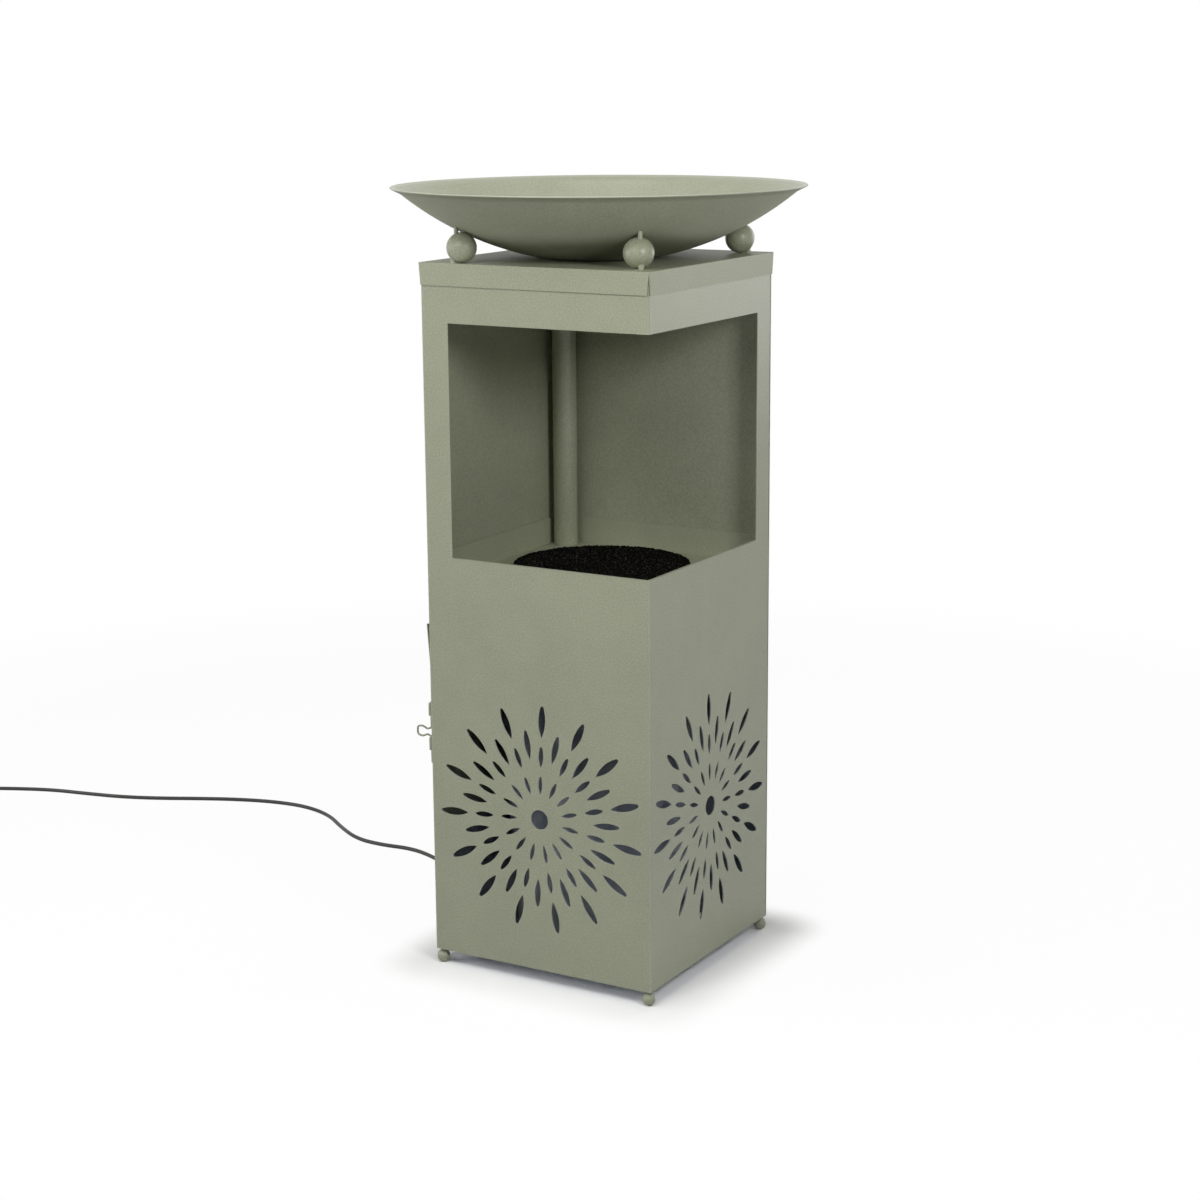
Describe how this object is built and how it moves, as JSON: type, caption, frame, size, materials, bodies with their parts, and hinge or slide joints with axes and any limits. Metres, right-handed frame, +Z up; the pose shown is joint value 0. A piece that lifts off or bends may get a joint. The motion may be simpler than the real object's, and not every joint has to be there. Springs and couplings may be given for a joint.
{
  "type": "column fountain",
  "caption": "Square sheet-metal garden column with an open corner niche over a foam disc, a shallow bowl on ball spacers, sunburst cut-outs, a side hatch and a mains cord.",
  "frame": {"origin": "on the floor, under the middle of the column and the bowl", "axes": "+Z up, front face towards -Y, right face towards +X, service hatch and cord at -X"},
  "size_m": [1.4572, 0.5107, 0.9358],
  "materials": {
    "sage_paint": "satin powder coat, sage grey-green",
    "tub_plastic": "smooth moulded, blue-grey",
    "black_foam": "open-cell reticulated foam",
    "black_rubber": "soft matt",
    "black_plastic": "moulded, fine grain",
    "brass": "turned, dull",
    "bright_steel": "plated"
  },
  "bodies": {
    "column": {"front_shell": "sage_paint", "rear_shell": "sage_paint", "base_plate": "sage_paint", "ball_feet": "sage_paint", "foot_posts": "sage_paint", "pan_ledges": "sage_paint", "splash_pan": "sage_paint", "riser_pipe": "sage_paint", "riser_bush": "black_rubber", "riser_hose": "black_rubber", "reservoir_tub": "tub_plastic", "pump_body": "black_plastic", "pump_feet": "black_rubber", "intake_cover": "black_plastic", "impeller_shaft": "bright_steel", "pump_lead": "black_rubber", "hinge_fixed_leaves": "sage_paint", "hinge_pins": "bright_steel", "fixed_leaf_rivets": "sage_paint", "magnet_holder": "sage_paint", "door_magnet": "bright_steel", "cord_grommet": "black_rubber", "power_cord": "black_rubber", "cord_coil": "black_rubber", "plug_relief": "black_rubber", "plug": "black_plastic", "plug_pins": "bright_steel"},
    "hatch": {"hatch_door": "sage_paint", "hinge_door_leaves": "sage_paint", "door_leaf_rivets": "sage_paint", "pull_plate": "sage_paint", "pull_tubes": "sage_paint"},
    "pull": {"wire_pull": "sage_paint"},
    "lid": {"lid": "sage_paint", "bowl": "sage_paint", "ball_spacers": "sage_paint", "spacer_posts": "sage_paint", "bowl_seals": "black_rubber", "feed_fitting": "black_plastic", "feed_nut": "brass", "nozzle": "brass", "overflow_pipe": "black_plastic", "overflow_nut": "black_plastic", "crossover_elbow": "black_plastic", "crossover_tube": "black_rubber"},
    "foam": {"foam_disc": "black_foam"},
    "rotor": {"impeller": "black_plastic"}
  },
  "joints": [
    {"name": "hatch_swing", "type": "hinge", "parent": "column", "child": "hatch", "pos_m": [-0.1529, 0.122, 0.2875], "axis": [0, 0, -1], "range_deg": [0, 115]},
    {"name": "pull_swing", "type": "hinge", "parent": "hatch", "child": "pull", "pos_m": [-0.15625, -0.141, 0.2891], "axis": [0, 0, 1], "range_deg": [-75, 75]},
    {"name": "lid_lift", "type": "slide", "parent": "column", "child": "lid", "axis": [0, 0, 1], "range_m": [0, 0.12]},
    {"name": "foam_lift", "type": "slide", "parent": "column", "child": "foam", "axis": [0, 0, 1], "range_m": [0, 0.2]},
    {"name": "impeller_spin", "type": "hinge", "parent": "column", "child": "rotor", "pos_m": [-0.034, 0.04, 0.0527], "axis": [0, 1, 0], "continuous": true}
  ]
}
